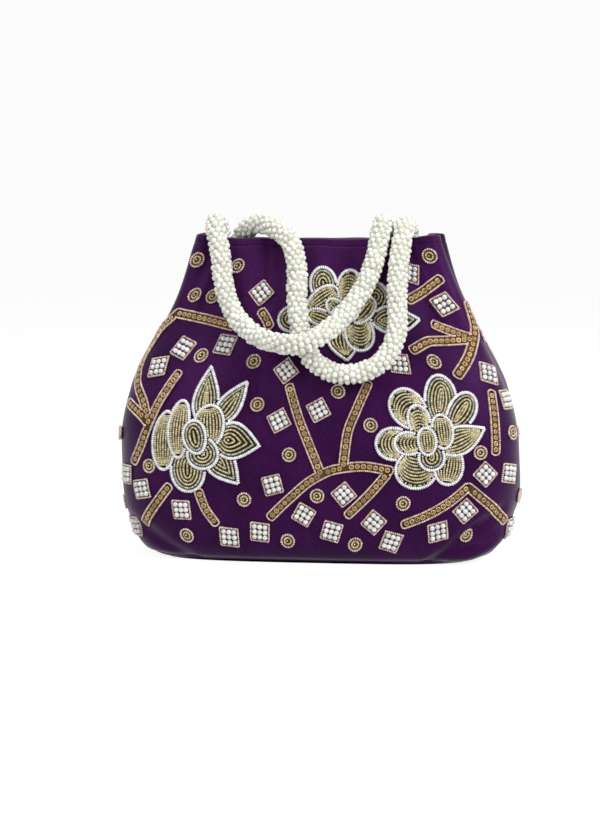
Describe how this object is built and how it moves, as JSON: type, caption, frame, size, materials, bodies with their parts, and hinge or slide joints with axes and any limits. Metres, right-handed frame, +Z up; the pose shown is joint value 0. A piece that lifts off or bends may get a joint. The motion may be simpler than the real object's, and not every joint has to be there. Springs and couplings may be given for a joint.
{
  "type": "potli bag",
  "caption": "Satin potli bag with a flat oval base, a full belly and a narrow open mouth, covered in raised bead flowers, stems and squares, with pearl rope handles over the front.",
  "frame": {"origin": "the middle of the base on the surface the bag stands on", "axes": "+Z up, +X along the width to the right as seen from the front, and the front, where the handles hang, faces -Y"},
  "size_m": [0.2376, 0.1133, 0.2062],
  "materials": {
    "satin": "deep purple woven satin with a soft sheen",
    "lining": "plain brown cotton",
    "board": "plain grey stiffening board",
    "pearl": "ivory imitation pearl coating",
    "bead": "white and gold bead work",
    "zari": "antique gold bead cord and sequins",
    "snap": "plated press snap"
  },
  "bodies": {
    "root": {"outer_shell": "satin", "base_panel": "satin", "base_board": "board", "lining": "lining", "front_handle": "pearl", "back_handle": "pearl", "front_handle_left_end": "satin", "front_handle_right_end": "satin", "back_handle_left_end": "satin", "back_handle_right_end": "satin", "snap_socket": "snap", "snap_stud": "snap", "front_left_flower": "bead", "front_right_flower": "bead", "front_top_flower": "bead", "front_left_branch": "zari", "front_left_lower_stem": "zari", "front_left_foot_stem": "zari", "front_neck_stem": "zari", "front_centre_branch": "zari", "front_right_lower_branch": "zari", "front_right_side_stem": "zari", "front_right_branch": "zari", "front_right_neck_stem": "zari", "back_left_flower": "bead", "back_right_flower": "bead", "back_top_flower": "bead", "back_left_branch": "zari", "back_left_lower_stem": "zari", "back_left_foot_stem": "zari", "back_neck_stem": "zari", "back_centre_branch": "zari", "back_right_lower_branch": "zari", "back_right_side_stem": "zari", "back_right_branch": "zari", "back_right_neck_stem": "zari"}
  },
  "joints": []
}
